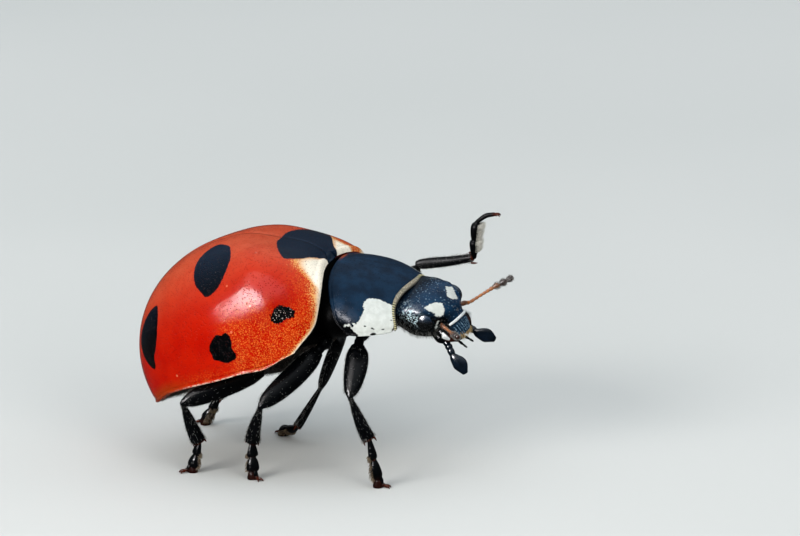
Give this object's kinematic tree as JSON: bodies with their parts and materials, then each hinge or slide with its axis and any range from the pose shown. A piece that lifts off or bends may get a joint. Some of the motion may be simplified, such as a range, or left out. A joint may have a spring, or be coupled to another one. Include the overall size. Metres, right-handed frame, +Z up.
{
  "type": "ladybird beetle model",
  "caption": "Still life-size model of a red, black-spotted ladybird standing with its left front leg raised and its head turned to its right.",
  "frame": {"origin": "middle of the part's own box, on the floor under the body", "axes": "+Z up; head towards -Y, so +Y runs along the body to the tail; +X is the beetle's left; millimetres in the source, metres here"},
  "size_m": [0.0054, 0.0092, 0.0061],
  "materials": {
    "wing_case": "glossy red cuticle with black spots and cream shoulders",
    "black_cuticle": "glossy blue-black cuticle with white marks",
    "underside": "satin black cuticle with short pale hairs",
    "eye": "polished, finely faceted",
    "feeler": "satin orange-brown with a dark hairy club",
    "leg": "glossy black with pale hair fringes",
    "foot": "dark brown with pale hair pads"
  },
  "bodies": {
    "root": {"pronotum": "black_cuticle", "prothorax": "underside", "head": "black_cuticle", "eye_left": "eye", "eye_right": "eye", "labrum": "black_cuticle", "mandible_left": "black_cuticle", "mandible_right": "black_cuticle", "maxillary_palp_right": "black_cuticle", "maxillary_palp_left": "black_cuticle", "labium": "underside", "antenna_left": "feeler", "antenna_right": "feeler", "elytron_left": "wing_case", "elytron_right": "wing_case", "scutellum": "black_cuticle", "thorax": "underside", "abdomen": "underside", "front_right_coxa": "leg", "front_right_femur": "leg", "front_right_tibia": "leg", "front_right_tarsus": "foot", "middle_right_coxa": "leg", "middle_right_femur": "leg", "middle_right_tibia": "leg", "middle_right_tarsus": "foot", "hind_right_coxa": "leg", "hind_right_femur": "leg", "hind_right_tibia": "leg", "hind_right_tarsus": "foot", "middle_left_coxa": "leg", "middle_left_femur": "leg", "middle_left_tibia": "leg", "middle_left_tarsus": "foot", "hind_left_coxa": "leg", "hind_left_femur": "leg", "hind_left_tibia": "leg", "hind_left_tarsus": "foot", "front_left_coxa": "leg", "front_left_femur": "leg", "front_left_tibia": "leg", "front_left_tarsus": "foot"}
  },
  "joints": []
}
